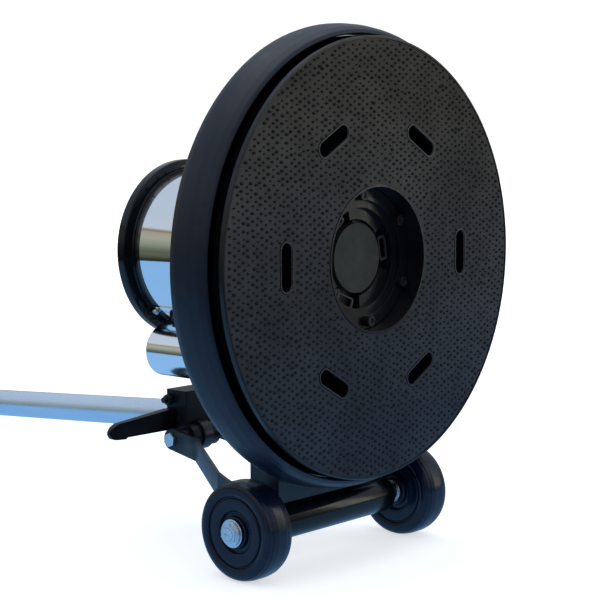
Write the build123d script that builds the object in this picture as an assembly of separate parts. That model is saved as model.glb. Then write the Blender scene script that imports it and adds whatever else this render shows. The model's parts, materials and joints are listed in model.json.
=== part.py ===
from build123d import *
import math
import os

# Rotary floor machine, tipped back on its wheels with the handle laid down behind it.
# Millimetres. X across the machine, +Z up, the pad driver faces -Y, the floor is Z = 0.

# Driving dimensions
ZC = 287.5            # height of the motor and disc axis
Y_MID = 616.925       # half the overall length, so that the stored origin is under the middle
R_DRIVER = 203.2      # sixteen inch pad driver
R_HOLE = 66.5         # centre hole of the driver
SLOT_AT = 124.8       # radius of the six slots
SLOT_L = 43.0
SLOT_W = 14.0
R_SKIRT = 207.0       # deck skirt
R_BUMPER = 216.0
R_COVER = 81.0        # motor cover
R_CAP = 90.6          # motor top cap
R_CAP_SCREW = 62.0
Y_PLATE = 96.0        # outer face of the deck's top plate
Y_COVER_END = 245.6
R_DECK_BOLT = 84.0
CAN_X = -46.0         # capacitor cover, beside the motor
CAN_Z = ZC - 99.0
CAN_R = 26.0
AXLE_Y = 63.1
AXLE_Z = 45.7
WHEEL_R = 45.7
WHEEL_IN = 97.6       # inner face of each wheel
WHEEL_W = 33.0
PIVOT_Y = 240.0
PIVOT_Z = ZC - 192.0
TUBE_R = 15.0
TUBE_Y = 290.0        # a point on the handle tube's axis
TUBE_Z = ZC - 175.7
TUBE_TILT = -3.98     # handle tube's slope, degrees
BAR_S = 915.0         # handlebar, measured along the handle
BAR_N = -31.36
MODULE = 1.0          # planetary gearbox
SUN_T = 12
PLANET_T = 48
RING_T = 108


def box(x0, x1, y0, y1, z0, z1):
    centre = Pos((x0 + x1) / 2, (y0 + y1) / 2, (z0 + z1) / 2)
    return centre * Box(x1 - x0, y1 - y0, z1 - z0)


def cyl_x(r, x0, x1, y, z):
    return Pos((x0 + x1) / 2, y, z) * Cylinder(r, x1 - x0, rotation=(0, 90, 0))


def cyl_y(r, y0, y1, x=0.0, z=ZC):
    return Pos(x, (y0 + y1) / 2, z) * Cylinder(r, y1 - y0, rotation=(90, 0, 0))


def cyl_z(r, z0, z1, x, y):
    return Pos(x, y, (z0 + z1) / 2) * Cylinder(r, z1 - z0)


def ring_y(r_out, r_in, y0, y1, x=0.0, z=ZC):
    return cyl_y(r_out, y0, y1, x, z) - cyl_y(r_in, y0 - 1, y1 + 1, x, z)


def ring_x(r_out, r_in, x0, x1, y, z):
    return cyl_x(r_out, x0, x1, y, z) - cyl_x(r_in, x0 - 1, x1 + 1, y, z)


def turned(points):
    """Solid of revolution about the machine axis from (radius, y) points."""
    face = make_face(Polyline(*points, close=True))
    return Pos(0, 0, ZC) * revolve(face, Axis.Y, 360)


def polar(radius, degrees, y=0.0):
    a = math.radians(degrees)
    return Pos(radius * math.cos(a), y, ZC + radius * math.sin(a))


def prism_x(points, x0, x1):
    """Prism along X from (y, z) points."""
    face = make_face(Polyline(*[(0, y, z) for y, z in points], close=True))
    return Pos(x0, 0, 0) * extrude(face, amount=x1 - x0, dir=(1, 0, 0))


def prism_z(points, z0, z1):
    """Prism along Z from (x, y) points."""
    face = make_face(Polyline(*[(x, y, 0) for x, y in points], close=True))
    return Pos(0, 0, z0) * extrude(face, amount=z1 - z0, dir=(0, 0, 1))


def hex_x(flats, x0, x1, y, z, turn=0.0):
    sketch = RegularPolygon(flats / 2, 6, major_radius=False, rotation=turn)
    return Pos(x0, y, z) * Rot(0, 90, 0) * extrude(sketch, amount=x1 - x0)


def hex_y(flats, y0, y1, x, z):
    sketch = RegularPolygon(flats / 2, 6, major_radius=False)
    return Pos(x, y1, z) * Rot(90, 0, 0) * extrude(sketch, amount=y1 - y0)


def on_handle(shape):
    """Place a shape drawn with the handle along +Y and its operator side at -Z."""
    return Pos(0, TUBE_Y, TUBE_Z) * Rot(TUBE_TILT, 0, 0) * shape


# Pad driver and clutch

def slot_cutter(grow, y0, y1):
    cutter = None
    for k in range(6):
        flat = SlotOverall(SLOT_L + 2 * grow, SLOT_W + 2 * grow, rotation=90)
        bar = Rot(90, 0, 0) * extrude(flat, amount=y1 - y0)
        placed = Pos(0, y1, ZC) * Rot(0, -60 * k, 0) * Pos(SLOT_AT, 0, 0) * bar
        cutter = placed if cutter is None else cutter + placed
    return cutter


def pad_driver_block():
    block = turned([(R_HOLE, 0.5), (R_HOLE + 2.0, 0.5), (R_HOLE + 2.0, 1.6), (200.9, 1.6), (200.9, 0.5),
                    (202.6, 0.5), (R_DRIVER, 1.1), (R_DRIVER, 5.4), (202.4, 6.2), (196.5, 6.2), (196.0, 6.7),
                    (196.0, 20.5), (194.5, 22.0), (84.0, 22.0), (80.0, 31.0), (50.4, 31.0), (50.4, 25.4),
                    (R_HOLE, 25.4)])
    pockets = None
    for k in range(12):
        wedge = prism_z([(100, -12), (182, -28), (182, 28), (100, 12)], 0, 13)
        placed = Pos(0, 22.5, ZC) * Rot(0, -(15 + 30 * k), 0) * Rot(90, 0, 0) * wedge
        pockets = placed if pockets is None else pockets + placed
    block = block - (pockets - slot_cutter(4.0, 5, 25))
    rims = slot_cutter(1.6, 0.6, 3.0)
    block = (block + rims) - slot_cutter(0.0, -1, 25)
    for k in range(6):
        block = block - polar(59.0, 60 * k - 25, 20.0) * Cylinder(3.05, 40, rotation=(90, 0, 0))
    return block


def pad_grip_mat():
    mat = ring_y(200.5, R_HOLE + 2.4, 0.0, 1.3)
    return mat - slot_cutter(2.0, -1, 3)


def clutch_plate():
    plate = turned([(65.9, 20.0), (65.9, 25.1), (50.0, 25.1), (50.0, 33.0), (47.0, 33.0), (47.0, 24.0),
                    (54.0, 24.0), (54.0, 20.0)])
    for k in range(3):
        a0 = 120 * k + 70 - 33
        tab = turned([(36.0, 29.0), (48.0, 29.0), (48.0, 33.0), (36.0, 33.0)])
        pts = [(0, 0)] + [(90 * math.cos(math.radians(a0 + 11 * i)), 90 * math.sin(math.radians(a0 + 11 * i)))
                          for i in range(7)]
        sector = Pos(0, 40, ZC) * Rot(90, 0, 0) * prism_z(pts, 0, 20)
        plate = plate + (tab & sector)
    for k in range(6):
        plate = plate - polar(59.0, 60 * k - 25) * Cylinder(3.3, 80, rotation=(90, 0, 0))
    return plate


def clutch_screws():
    group = []
    for k in range(6):
        head = Cylinder(5.0, 6.0, rotation=(90, 0, 0)) - Pos(0, -2, 0) * Rot(90, 0, 0) * extrude(
            RegularPolygon(2.5, 6, major_radius=False), amount=4)
        shank = Pos(0, 8, 0) * Cylinder(3.0, 11.0, rotation=(90, 0, 0))
        group.append(polar(59.0, 60 * k - 25, 16.8) * (head + shank))
    return group


def drive_hub():
    hub = cyl_y(32.5, 27.5, 33.4) + cyl_y(30.0, 33.4, 44.0)
    for k in range(3):
        lug = box(0, 44.0, 33.5, 39.5, ZC - 11, ZC + 11)
        hub = hub + Pos(0, 0, ZC) * Rot(0, -(120 * k + 70), 0) * Pos(0, 0, -ZC) * (lug & cyl_y(44.0, 30, 45))
    return hub - cyl_y(20.05, 32.0, 45.0)


# Planetary gearbox

def gear_face(teeth, tip, root, thick_tip, thick_root, phase):
    pts = []
    for k in range(teeth):
        a = math.radians(phase) + 2 * math.pi * k / teeth
        for r, t in ((root, -thick_root), (tip, -thick_tip), (tip, thick_tip), (root, thick_root)):
            b = a + t / r
            pts.append((r * math.cos(b), r * math.sin(b)))
    return make_face(Polyline(*pts, close=True))


def gear_y(face, y0, y1):
    return Pos(0, y1, ZC) * Rot(90, 0, 0) * extrude(face, amount=y1 - y0)


def ring_gear():
    inner = gear_face(RING_T, RING_T / 2 * MODULE + 1.25, RING_T / 2 * MODULE - 0.9, 0.62, 1.02, 0.0)
    return cyl_y(62.4, 64.0, 81.0) - gear_y(inner, 60.0, 85.0)


def planet_gear(k):
    face = gear_face(PLANET_T, PLANET_T / 2 * MODULE + 0.9, PLANET_T / 2 * MODULE - 1.2, 0.32, 0.80, 0.0)
    gear = gear_y(face, 65.0, 80.0) - cyl_y(5.05, 60, 85)
    mid = (SUN_T + PLANET_T) / 2 * MODULE
    return Pos(0, 0, ZC) * Rot(0, -120 * k, 0) * Pos(mid, 0, -ZC) * gear


def sun_pinion():
    face = gear_face(SUN_T, SUN_T / 2 * MODULE + 0.9, SUN_T / 2 * MODULE - 1.2, 0.28, 0.85, 15.0)
    return gear_y(face, 64.0, 86.2) - cyl_y(3.05, 60, 90)


def planet_carrier():
    body = cyl_y(46.0, 56.5, 62.5) + cyl_y(20.0, 32.4, 57.0)
    mid = (SUN_T + PLANET_T) / 2 * MODULE
    for k in range(3):
        body = body + polar(mid, -120 * k, 71.0) * Cylinder(5.0, 19.0, rotation=(90, 0, 0))
    return body


def gearbox_housing():
    body = turned([(31.0, 46.0), (66.4, 46.0), (66.4, 96.2), (98.0, 96.2), (98.0, 104.0), (20.4, 104.0),
                   (20.4, 89.0), (13.0, 89.0), (13.0, 86.0), (62.8, 86.0), (62.8, 53.0), (31.0, 53.0)])
    body = body - cyl_y(CAN_R + 0.6, 90, 110, CAN_X, CAN_Z)
    for k in range(6):
        body = body - polar(R_DECK_BOLT, 60 * k + 30, 96) * Cylinder(4.05, 20, rotation=(90, 0, 0))
    return body


def ball_bearing(r_out, r_in, y0, y1):
    mid = (r_out + r_in) / 2
    outer = ring_y(r_out, mid + 2.2, y0, y1)
    inner = ring_y(mid - 2.2, r_in, y0, y1)
    shield = ring_y(mid + 2.4, mid - 2.4, y0 + 1.0, y1 - 1.0)
    return outer + shield + inner


# Motor

def rotor_shaft():
    return cyl_y(10.0, 86.4, 262.0) + cyl_y(3.0, 65.0, 87.0)


def rotor_core():
    return ring_y(43.0, 10.03, 132.0, 204.0)


def stator_core():
    return ring_y(72.6, 43.8, 134.0, 202.0)


def stator_windings():
    low = turned([(48, 112), (50, 110), (66, 110), (68, 112), (68, 133.7), (48, 133.7)])
    high = turned([(48, 202.3), (68, 202.3), (68, 220), (66, 222), (50, 222), (48, 220)])
    return [low, high]


def motor_frame():
    frame = ring_y(76.0, 73.0, 104.3, 236.0)
    flange = ring_y(92.0, 73.0, 104.3, 108.0) - cyl_y(CAN_R + 0.6, 90, 110, CAN_X, CAN_Z)
    return frame + flange


def motor_end_bell():
    bell = turned([(20.4, 224.5), (27.0, 224.5), (27.0, 234.0), (72.6, 234.0), (72.6, 236.3), (76.0, 236.3),
                   (76.0, 240.0), (13.0, 240.0), (13.0, 237.0), (20.4, 237.0)])
    for k in range(6):
        bell = bell - polar(50.0, 60 * k + 30, 237) * Cylinder(9.0, 30, rotation=(90, 0, 0))
    for k in range(4):
        bell = bell - polar(R_CAP_SCREW, 90 * k + 45, 237) * Cylinder(2.3, 30, rotation=(90, 0, 0))
    return bell


def cooling_fan():
    fan = ring_y(20.0, 10.03, 246.0, 261.0) + ring_y(55.0, 19.0, 246.0, 248.0)
    for k in range(9):
        blade = box(19.0, 54.0, 247.5, 260.0, ZC - 1.0, ZC + 1.0)
        fan = fan + Pos(0, 0, ZC) * Rot(0, 40 * k, 0) * Pos(0, 0, -ZC) * blade
    return fan


def motor_cover():
    shell = ring_y(R_COVER, R_COVER - 1.0, 108.6, Y_COVER_END)
    a = math.radians(-138.0)
    lap = ring_y(R_COVER + 1.2, R_COVER - 0.2, 108.6, Y_COVER_END - 0.4)
    pts = [(0, 0)] + [(120 * math.cos(a + math.radians(3 * i)), 120 * math.sin(a + math.radians(3 * i)))
                      for i in range(6)]
    sector = Pos(0, 260, ZC) * Rot(90, 0, 0) * prism_z(pts, 0, 200)
    cover = shell + (lap & sector)
    for y in (124.0, 183.0, 241.6):
        hole = Pos(0, y, ZC) * Rot(0, 133.5, 0) * Pos(R_COVER, 0, 0) * Cylinder(1.9, 12, rotation=(0, 90, 0))
        cover = cover - hole
    return cover


def cover_screws():
    group = []
    for y in (124.0, 183.0, 241.6):
        head = Pos(R_COVER + 2.5, 0, 0) * Cylinder(3.4, 2.0, rotation=(0, 90, 0))
        cross = Pos(R_COVER + 3.2, 0, 0) * (Box(1.4, 3.6, 0.8) + Box(1.4, 0.8, 3.6))
        shank = Pos(R_COVER - 0.8, 0, 0) * Cylinder(1.7, 5.5, rotation=(0, 90, 0))
        screw = (head + shank) - cross
        group.append(Pos(0, y, ZC) * Rot(0, 133.5, 0) * screw)
    return group


def motor_top_cap():
    lip = Y_COVER_END + 0.4
    outer = [(80.2, lip), (82.0, lip), (89.4, lip + 4.0), (90.4, lip + 5.2), (R_CAP, 255.0), (90.2, 260.0),
             (87.5, 262.3), (82.0, 267.0), (75.0, 272.0), (64.0, 277.0), (45.0, 281.0), (0.0, 284.0)]
    inner = [(0.0, 281.0), (44.5, 278.0), (62.8, 274.0), (73.6, 269.0), (80.4, 264.4), (85.6, 259.6),
             (87.4, 257.0), (87.6, lip + 6.6), (81.4, lip + 3.4), (80.2, lip + 3.0)]
    cap = turned(outer + inner)
    for k in range(20):
        slot = Pos(0, 0, ZC) * Rot(0, 18 * k, 0) * Pos(74.4, 270.0, 0) * Box(10.6, 20.0, 3.6)
        cap = cap - slot
    for k in range(4):
        cap = cap - polar(R_CAP_SCREW, 90 * k + 45, 270) * Cylinder(2.4, 60, rotation=(90, 0, 0))
    return cap


def cap_screws():
    group = []
    for k in range(4):
        screw = Pos(0, 280.2, 0) * Cylinder(4.2, 3.4, rotation=(90, 0, 0))
        stem = Pos(0, 256.6, 0) * Cylinder(2.2, 44.8, rotation=(90, 0, 0))
        cross = Pos(0, 281.8, 0) * (Box(4.4, 2.2, 1.0) + Box(1.0, 2.2, 4.4))
        group.append(polar(R_CAP_SCREW, 90 * k + 45) * ((screw + stem) - cross))
    return group


# Capacitor beside the motor

def capacitor_cover():
    outer = cyl_y(CAN_R, 97.6, 242.4, CAN_X, CAN_Z)
    outer = fillet(outer.faces().sort_by(Axis.Y)[-1].edges(), 3.5)
    cover = outer - cyl_y(CAN_R - 1.0, 99.0, 241.0, CAN_X, CAN_Z)
    slot = Pos(CAN_X, 224.0, CAN_Z) * Rot(0, 112, 0) * Pos(CAN_R, 0, 0) * Box(8, 22, 4)
    return cover - slot


def capacitor():
    can = cyl_y(23.0, 99.4, 205.0, CAN_X, CAN_Z)
    can = can + cyl_y(20.5, 205.0, 208.0, CAN_X, CAN_Z)
    for x in (-8.0, 8.0):
        can = can + Pos(CAN_X + x, 212.0, CAN_Z) * Box(6.0, 9.0, 0.8)
    return can


# Deck, bumper and running gear

def deck_housing():
    shell = turned([(R_SKIRT, 26.0), (R_SKIRT, 51.0), (205.4, 55.4), (198.0, 62.0), (184.0, 71.0),
                    (158.0, 84.0), (112.0, Y_PLATE), (67.0, Y_PLATE), (67.0, Y_PLATE - 4.0),
                    (110.6, Y_PLATE - 4.0), (156.0, 80.2), (181.6, 67.6), (195.2, 58.8), (201.8, 53.0),
                    (203.4, 50.0), (203.4, 26.0)])
    for k in range(6):
        shell = shell - polar(R_DECK_BOLT, 60 * k + 30, 94) * Cylinder(4.2, 20, rotation=(90, 0, 0))
    return shell


def deck_bolts():
    group = []
    for k in range(6):
        head = hex_y(13.0, 85.4, 91.6, 0, 0)
        shank = Pos(0, 95.2, 0) * Cylinder(4.0, 8.0, rotation=(90, 0, 0))
        group.append(polar(R_DECK_BOLT, 60 * k + 30) * (head + shank))
    return group


def bumper_ring():
    edge = Spline((206.2, 15.3), (209.4, 16.8), (212.6, 22.5), (215.0, 32.0), (R_BUMPER, 44.0),
                  (214.6, 52.4), (210.6, 55.6))
    inner = Polyline((210.6, 55.6), (208.2, 55.8), (207.4, 54.8), (207.4, 25.6), (204.9, 25.6), (204.9, 16.4),
                     (206.2, 15.3))
    face = make_face([edge, inner])
    return Pos(0, 0, ZC) * revolve(face, Axis.Y, 360)


def deck_bracket():
    top = AXLE_Z + 60.0
    side = [(58.0, AXLE_Z - 12), (76.0, AXLE_Z - 12), (94.0, AXLE_Z + 26), (94.0, top + 12), (58.0, top + 12)]
    plates = prism_x(side, 71.0, 76.0) + prism_x(side, -76.0, -71.0)
    plates = plates + box(-76.0, 76.0, 58.0, 62.0, AXLE_Z + 15.0, top + 12)
    plates = plates - cyl_x(17.9, -90, 90, AXLE_Y, AXLE_Z)
    cone = turned([(0, 20), (R_SKIRT + 0.8, 20), (R_SKIRT + 0.8, 51.2), (206.0, 56.0), (198.5, 62.7),
                   (184.4, 71.8), (158.2, 84.9), (112.0, Y_PLATE + 0.8), (0, Y_PLATE + 0.8)])
    plates = plates - cone
    keep_out = cyl_y(R_BUMPER + 0.8, 20, 56.6)
    plates = plates - (keep_out & box(-90, 90, 20, 70.2, 0, 400))
    return plates - cyl_x(4.3, -90, 90, 84.0, AXLE_Z + 10)


def axle_tube():
    return ring_x(17.5, 8.4, -80.0, 80.0, AXLE_Y, AXLE_Z)


def axle_rod():
    rod = cyl_x(8.0, -131.0, 131.0, AXLE_Y, AXLE_Z) + cyl_x(6.0, -138.4, 138.4, AXLE_Y, AXLE_Z)
    for side in (-1, 1):
        rod = rod - Pos(side * 138.4, AXLE_Y, AXLE_Z) * Box(2.0, 7.0, 1.6)
    return rod


def wheel(side):
    w = WHEEL_W
    r = WHEEL_R
    pts = [(8.05, 0.5), (14.0, 0.5), (14.8, 5.0), (19.0, 5.0), (20.5, 1.6), (29.8, 1.2), (31.2, 3.6),
           (32.8, 3.6), (34.0, 0.9), (37.0, 0.0), (40.5, 0.4), (43.4, 2.2), (45.0, 5.4), (r, 10.5),
           (r, w - 10.5), (45.0, w - 5.4), (43.4, w - 2.2), (40.5, w - 0.4), (37.0, w), (34.0, w - 0.9),
           (32.8, w - 3.6), (31.2, w - 3.6), (29.8, w - 1.2), (20.5, w - 1.6), (19.0, w - 6.0),
           (14.8, w - 6.0), (14.0, w - 0.5), (8.05, w - 0.5)]
    face = make_face(Polyline(*pts, close=True))
    turn = Rot(0, 0, -90) if side > 0 else Rot(0, 0, 90)
    return Pos(side * WHEEL_IN, AXLE_Y, AXLE_Z) * turn * revolve(face, Axis.Y, 360)


def axle_washers():
    group = []
    for side in (-1, 1):
        for a, b, r in ((87.9, 90.0, 11.0), (94.8, 96.9, 11.0)):
            x0, x1 = sorted((side * a, side * b))
            group.append(ring_x(r, 8.2, x0, x1, AXLE_Y, AXLE_Z))
        x0, x1 = sorted((side * 90.3, side * 94.5))
        group.append(ring_x(9.6, 8.2, x0, x1, AXLE_Y, AXLE_Z))
        x0, x1 = sorted((side * 131.3, side * 133.2))
        group.append(ring_x(13.0, 6.15, x0, x1, AXLE_Y, AXLE_Z))
    return group


def axle_nuts():
    group = []
    for side in (-1, 1):
        x0, x1 = sorted((side * 133.5, side * 135.4))
        nut = cyl_x(11.2, x0, x1, AXLE_Y, AXLE_Z)
        x2, x3 = sorted((side * 135.4, side * 138.0))
        nut = nut + hex_x(16.0, x2, x3, AXLE_Y, AXLE_Z, 8.8)
        group.append(nut - cyl_x(6.1, x0 - 5, x1 + 5, AXLE_Y, AXLE_Z))
    return group


def yoke_arm(side):
    outer = [(-39.5, 256), (-39.5, 205.6), (-87.5, 126.0), (-87.5, 40)]
    inner = [(-82.5, 40), (-82.5, 127.4), (-34.5, 207.0), (-34.5, 256)]
    plan = prism_z(outer + inner, 0, 200)
    z = ZC
    low = [(PIVOT_Y, z - 203), (204, z - 210), (127, z - 226), (63, z - 254)]
    high = [(63, z - 229.6), (127, z - 203), (208, z - 187), (PIVOT_Y, z - 181)]
    profile = prism_x(low + high, -100, 0)
    profile = profile + cyl_x(11.0, -100, 0, PIVOT_Y, PIVOT_Z)
    profile = profile + cyl_x(12.2, -100, 0, AXLE_Y, AXLE_Z)
    arm = plan & profile
    arm = arm - cyl_x(8.2, -100, -60, AXLE_Y, AXLE_Z) - cyl_x(5.1, -60, 0, PIVOT_Y, PIVOT_Z)
    arm = arm - cyl_x(4.3, -100, -60, 84.0, AXLE_Z + 10)
    return arm if side < 0 else mirror(arm, Plane.YZ)


def arm_bolts():
    group = []
    for side in (-1, 1):
        x0, x1 = sorted((side * 87.8, side * 93.0))
        bolt = hex_x(13.0, x0, x1, 84.0, AXLE_Z + 10)
        x2, x3 = sorted((side * 64.0, side * 88.0))
        group.append(bolt + cyl_x(4.0, x2, x3, 84.0, AXLE_Z + 10))
    return group


# Handle pivot and lock

def pivot_bolt():
    rod = cyl_x(5.0, -42.0, 46.0, PIVOT_Y, PIVOT_Z)
    head = hex_x(13.0, -43.4, -39.9, PIVOT_Y, PIVOT_Z, 7.3)
    nut = hex_x(13.0, 40.0, 45.0, PIVOT_Y, PIVOT_Z, 7.3) - cyl_x(5.1, 30, 60, PIVOT_Y, PIVOT_Z)
    return [rod + head, nut]


def lock_drum():
    return ring_x(15.2, 5.1, -6.0, 6.0, PIVOT_Y, PIVOT_Z)


def handle_socket():
    top = ZC - 145.5
    block = box(-18.5, 18.5, 240.0, 269.0, PIVOT_Z - 7, top)
    block = fillet(block.edges().filter_by(Axis.Z), 1.2)
    block = block + cyl_x(12.5, -18.5, 18.5, PIVOT_Y, PIVOT_Z)
    block = block + cyl_x(9.0, -33.8, -18.0, PIVOT_Y, PIVOT_Z)
    spigot = on_handle(cyl_y(13.4, -24.0, 42.0, 0, 0))
    block = block + (spigot & box(-20, 20, 266.0, 400.0, 0, 300))
    block = block - box(-19, 2.5, 254.4, 266.9, PIVOT_Z + 5.7, PIVOT_Z + 27.4)
    block = block - box(-6.4, 2.5, 254.4, 266.9, PIVOT_Z + 0.6, PIVOT_Z + 6)
    block = block - cyl_x(15.6, -6.4, 6.4, PIVOT_Y, PIVOT_Z)
    block = block - cyl_x(5.05, -40, 30, PIVOT_Y, PIVOT_Z)
    block = block - cyl_z(2.55, PIVOT_Z - 1, top - 8.0, -10.0, 262.0)
    block = block - cyl_x(3.05, -30, 30, 262.5, ZC - 155.5)
    for s in (6.0, 28.0):
        block = block - on_handle(cyl_x(3.1, -8, 30, s, 0))
    return block


def socket_pins():
    bolt = cyl_x(3.0, -29.5, 22.0, 262.5, ZC - 155.5) + hex_x(10.0, 18.9, 23.5, 262.5, ZC - 155.5)
    nut = hex_x(10.0, -25.0, -18.9, 262.5, ZC - 155.5) - cyl_x(3.05, -30, 0, 262.5, ZC - 155.5)
    pin = cyl_z(2.5, PIVOT_Z - 0.5, ZC - 159.2, -10.0, 262.0)
    return [pin, bolt, nut]


def lock_pedal():
    z0 = ZC - 186.0
    side = [(1.0, z0), (1.0, z0 + 21.0), (-26.0, z0 + 21.0), (-94.0, z0 + 15.0), (-101.0, z0 + 11.5),
            (-104.5, z0 + 8.0), (-104.5, z0 + 5.0), (-101.5, z0 + 1.0), (-97.0, z0 - 0.8), (-84.0, z0 - 1.6),
            (-82.0, z0)]
    face = make_face(Polyline(*[(x, 0, z) for x, z in side], close=True))
    arm = Pos(0, 266.4, 0) * extrude(face, amount=10.2, dir=(0, -1, 0))
    arm = arm - box(-8.0, 5.0, 264.4, 270.0, 0, 300)
    front = [(-24.0, 250.0), (-24.0, 256.3), (-100.0, 258.4), (-106.0, 260.0), (-110.0, 250.0)]
    back = [(-24.0, 272.0), (-24.0, 266.3), (-100.0, 265.0), (-106.0, 263.0), (-110.0, 272.0)]
    arm = arm - prism_z(front, 0, 300) - prism_z(back, 0, 300)
    nose = box(-5.6, 0.6, 255.6, 264.0, PIVOT_Z + 1.0, PIVOT_Z + 8.0)
    return (arm + nose) - cyl_z(2.55, 0, 300, -10.0, 262.0)


def pedal_spring():
    """Torsion spring round the pivot bolt, with one leg that turns back over itself."""
    pitch = 2.3
    coil = Helix(pitch=pitch, height=3.75 * pitch, radius=8.0)
    run = coil % 1
    up = Vector(0, -1, 0)
    out = Line(coil @ 1, coil @ 1 + run * 21.5)
    bend = ThreePointArc(out @ 1, out @ 1 + run * 3.3 + up * 3.3, out @ 1 + up * 6.6)
    back = Line(bend @ 1, bend @ 1 - run * 27.0)
    path = Wire([coil, out, bend, back])
    body = sweep(Plane(coil @ 0, z_dir=coil % 0) * Circle(1.0), path=path)
    return Plane(origin=(33.2, PIVOT_Y, PIVOT_Z), x_dir=(0, 1, 0), z_dir=(-1, 0, 0)) * body


def handle_tube():
    tube = cyl_y(TUBE_R, -18.0, 900.0, 0, 0) - cyl_y(TUBE_R - 1.5, -30.0, 910.0, 0, 0)
    for s in (6.0, 28.0):
        tube = tube - cyl_x(3.1, 0, 30, s, 0)
    return on_handle(tube)


def socket_screws():
    group = []
    for s in (6.0, 28.0):
        screw = cyl_x(3.0, -7.0, 17.0, s, 0) + cyl_x(5.0, 15.4, 18.6, s, 0)
        screw = screw - Pos(18.6, s, 0) * Box(1.6, 6.4, 1.0)
        group.append(on_handle(screw))
    return group


# Control head

def head_blank():
    plan = prism_z([(-24, 836), (24, 836), (40, 862), (46, 884), (46, 930), (38, 940), (-38, 940), (-46, 930),
                    (-46, 884), (-40, 862)], -44.5, 24.0)
    side = prism_x([(830, -20), (862, -38), (888, -44.5), (932, -44.5), (941, -36), (941, 12), (930, 22),
                    (880, 24), (850, 21), (830, 18)], -50, 50)
    return plan & side


def head_hollow():
    plan = prism_z([(-21, 842), (21, 842), (37, 864), (43, 885), (43, 929), (36, 937), (-36, 937), (-43, 929),
                    (-43, 885), (-37, 864)], -41.5, 21.0)
    side = prism_x([(842, -20), (864, -35), (889, -41.5), (931, -41.5), (938, -34), (938, 10), (928, 19),
                    (880, 21), (852, 18), (842, 17)], -50, 50)
    return plan & side


def head_cuts():
    cuts = cyl_y(TUBE_R + 0.1, 800, 900.5, 0, 0)
    cuts = cuts + cyl_x(11.1, -60, 60, BAR_S, BAR_N)
    cuts = cuts + cyl_y(8.25, 930, 950, 0, -6.3) + cyl_z(6.15, 10, 30, 28.0, 905.0)
    return cuts


def head_screw_posts(r, n0, n1):
    posts = None
    for x, s in ((-34, 880), (34, 880), (-30, 930), (30, 930)):
        post = cyl_z(r, n0, n1, x, s)
        posts = post if posts is None else posts + post
    return posts


def head_shell(upper):
    shell = head_blank() - head_hollow()
    collar = ring_y(TUBE_R + 3.0, TUBE_R + 0.1, 842, 890, 0, 0) & head_blank()
    shell = shell + collar + (head_screw_posts(4.0, -40, 22) & head_blank())
    shell = shell - head_cuts() - head_screw_posts(1.6, -43, 18)
    if upper:
        return shell & box(-60, 60, 800, 960, -6.15, 40)
    shell = shell - head_screw_posts(3.3, -50, -39.5)
    low = shell & box(-60, 60, 800, 960, -60, -6.45)
    for side in (-1, 1):
        for n0, n1 in ((-43.0, -40.0), (-22.6, -19.6)):
            x0, x1 = sorted((side * 45.0, side * 59.0))
            ear = box(x0, x1, 883, 895, n0, n1)
            low = low + (ear - cyl_z(2.05, -60, 0, side * 53.0, 889.0))
    return low - cyl_x(11.1, -70, 70, BAR_S, BAR_N)


def head_screws():
    group = []
    for x, s in ((-34, 880), (34, 880), (-30, 930), (30, 930)):
        group.append(on_handle(cyl_z(3.0, -42.2, -39.8, x, s) + cyl_z(1.5, -40.5, 14, x, s)))
    return group


def handlebar():
    bar = cyl_x(11.0, -186, 186, BAR_S, BAR_N) - cyl_x(9.2, -190, 190, BAR_S, BAR_N)
    return on_handle(bar)


def hand_grips():
    group = []
    for side in (-1, 1):
        x0, x1 = sorted((side * 64.0, side * 190.0))
        grip = cyl_x(16.0, x0, x1, BAR_S, BAR_N)
        for k in range(12):
            x2, x3 = sorted((side * (66.0 + 10.0 * k), side * (72.0 + 10.0 * k)))
            grip = grip + cyl_x(17.0, x2, x3, BAR_S, BAR_N)
        x4, x5 = sorted((side * 50.0, side * 187.0))
        group.append(on_handle(grip - cyl_x(11.15, x4, x5, BAR_S, BAR_N)))
    return group


def trigger(side):
    blade = prism_z([(0, -4.5), (20, -4.0), (100, -4.0), (106, -1.0), (106, 2.0), (100, 1.6), (20, 1.6),
                     (0, 4.5)], -38.4, -24.2)
    hub = cyl_z(5.0, -39.5, -23.1, 0, 0)
    lever = (blade + hub) - cyl_z(2.05, -60, 0, 0, 0)
    if side < 0:
        lever = mirror(lever, Plane.YZ)
    return on_handle(Pos(side * 53.0, 889.0, 0) * lever)


def trigger_pins():
    group = []
    for side in (-1, 1):
        pin = cyl_z(2.0, -43.5, -19.0, side * 53.0, 889.0) + cyl_z(3.4, -19.3, -17.8, side * 53.0, 889.0)
        group.append(on_handle(pin))
    return group


def safety_button():
    return on_handle(cyl_y(8.2, 928.5, 946.0, 0, -6.3) + cyl_y(10.0, 926.5, 929.0, 0, -6.3))


def main_switch():
    body = box(-14, 14, 902.5, 920.0, -15.0, 12.0) + cyl_y(3.0, 919, 921.6, 0, -6.3)
    for x in (-9.0, 9.0):
        body = body + box(x - 2.5, x + 2.5, 903.0, 912.0, 11.5, 16.0)
    return on_handle(body)


def cord_gland():
    gland = cyl_z(6.0, 18.0, 30.0, 28.0, 905.0) + cyl_z(9.0, 24.3, 30.0, 28.0, 905.0)
    gland = gland + cyl_z(8.0, 30.0, 42.0, 28.0, 905.0)
    return on_handle(gland - cyl_z(4.2, 10.0, 50.0, 28.0, 905.0))


def cord_hooks():
    group = []
    for s, way in ((560.0, -1), (780.0, 1)):
        clamp = ring_y(19.0, TUBE_R + 0.12, s - 9.0, s + 9.0, 0, 0)
        arm = box(-5.0, 5.0, s - 4.0, s + 4.0, 17.5, 52.0)
        s0, s1 = sorted((s, s + way * 46.0))
        tip = box(-5.0, 5.0, s0, s1, 46.0, 52.0)
        s2, s3 = sorted((s + way * 40.0, s + way * 46.0))
        lip = box(-5.0, 5.0, s2, s3, 46.0, 60.0)
        group.append(on_handle(clamp + arm + tip + lip))
    return group


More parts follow.
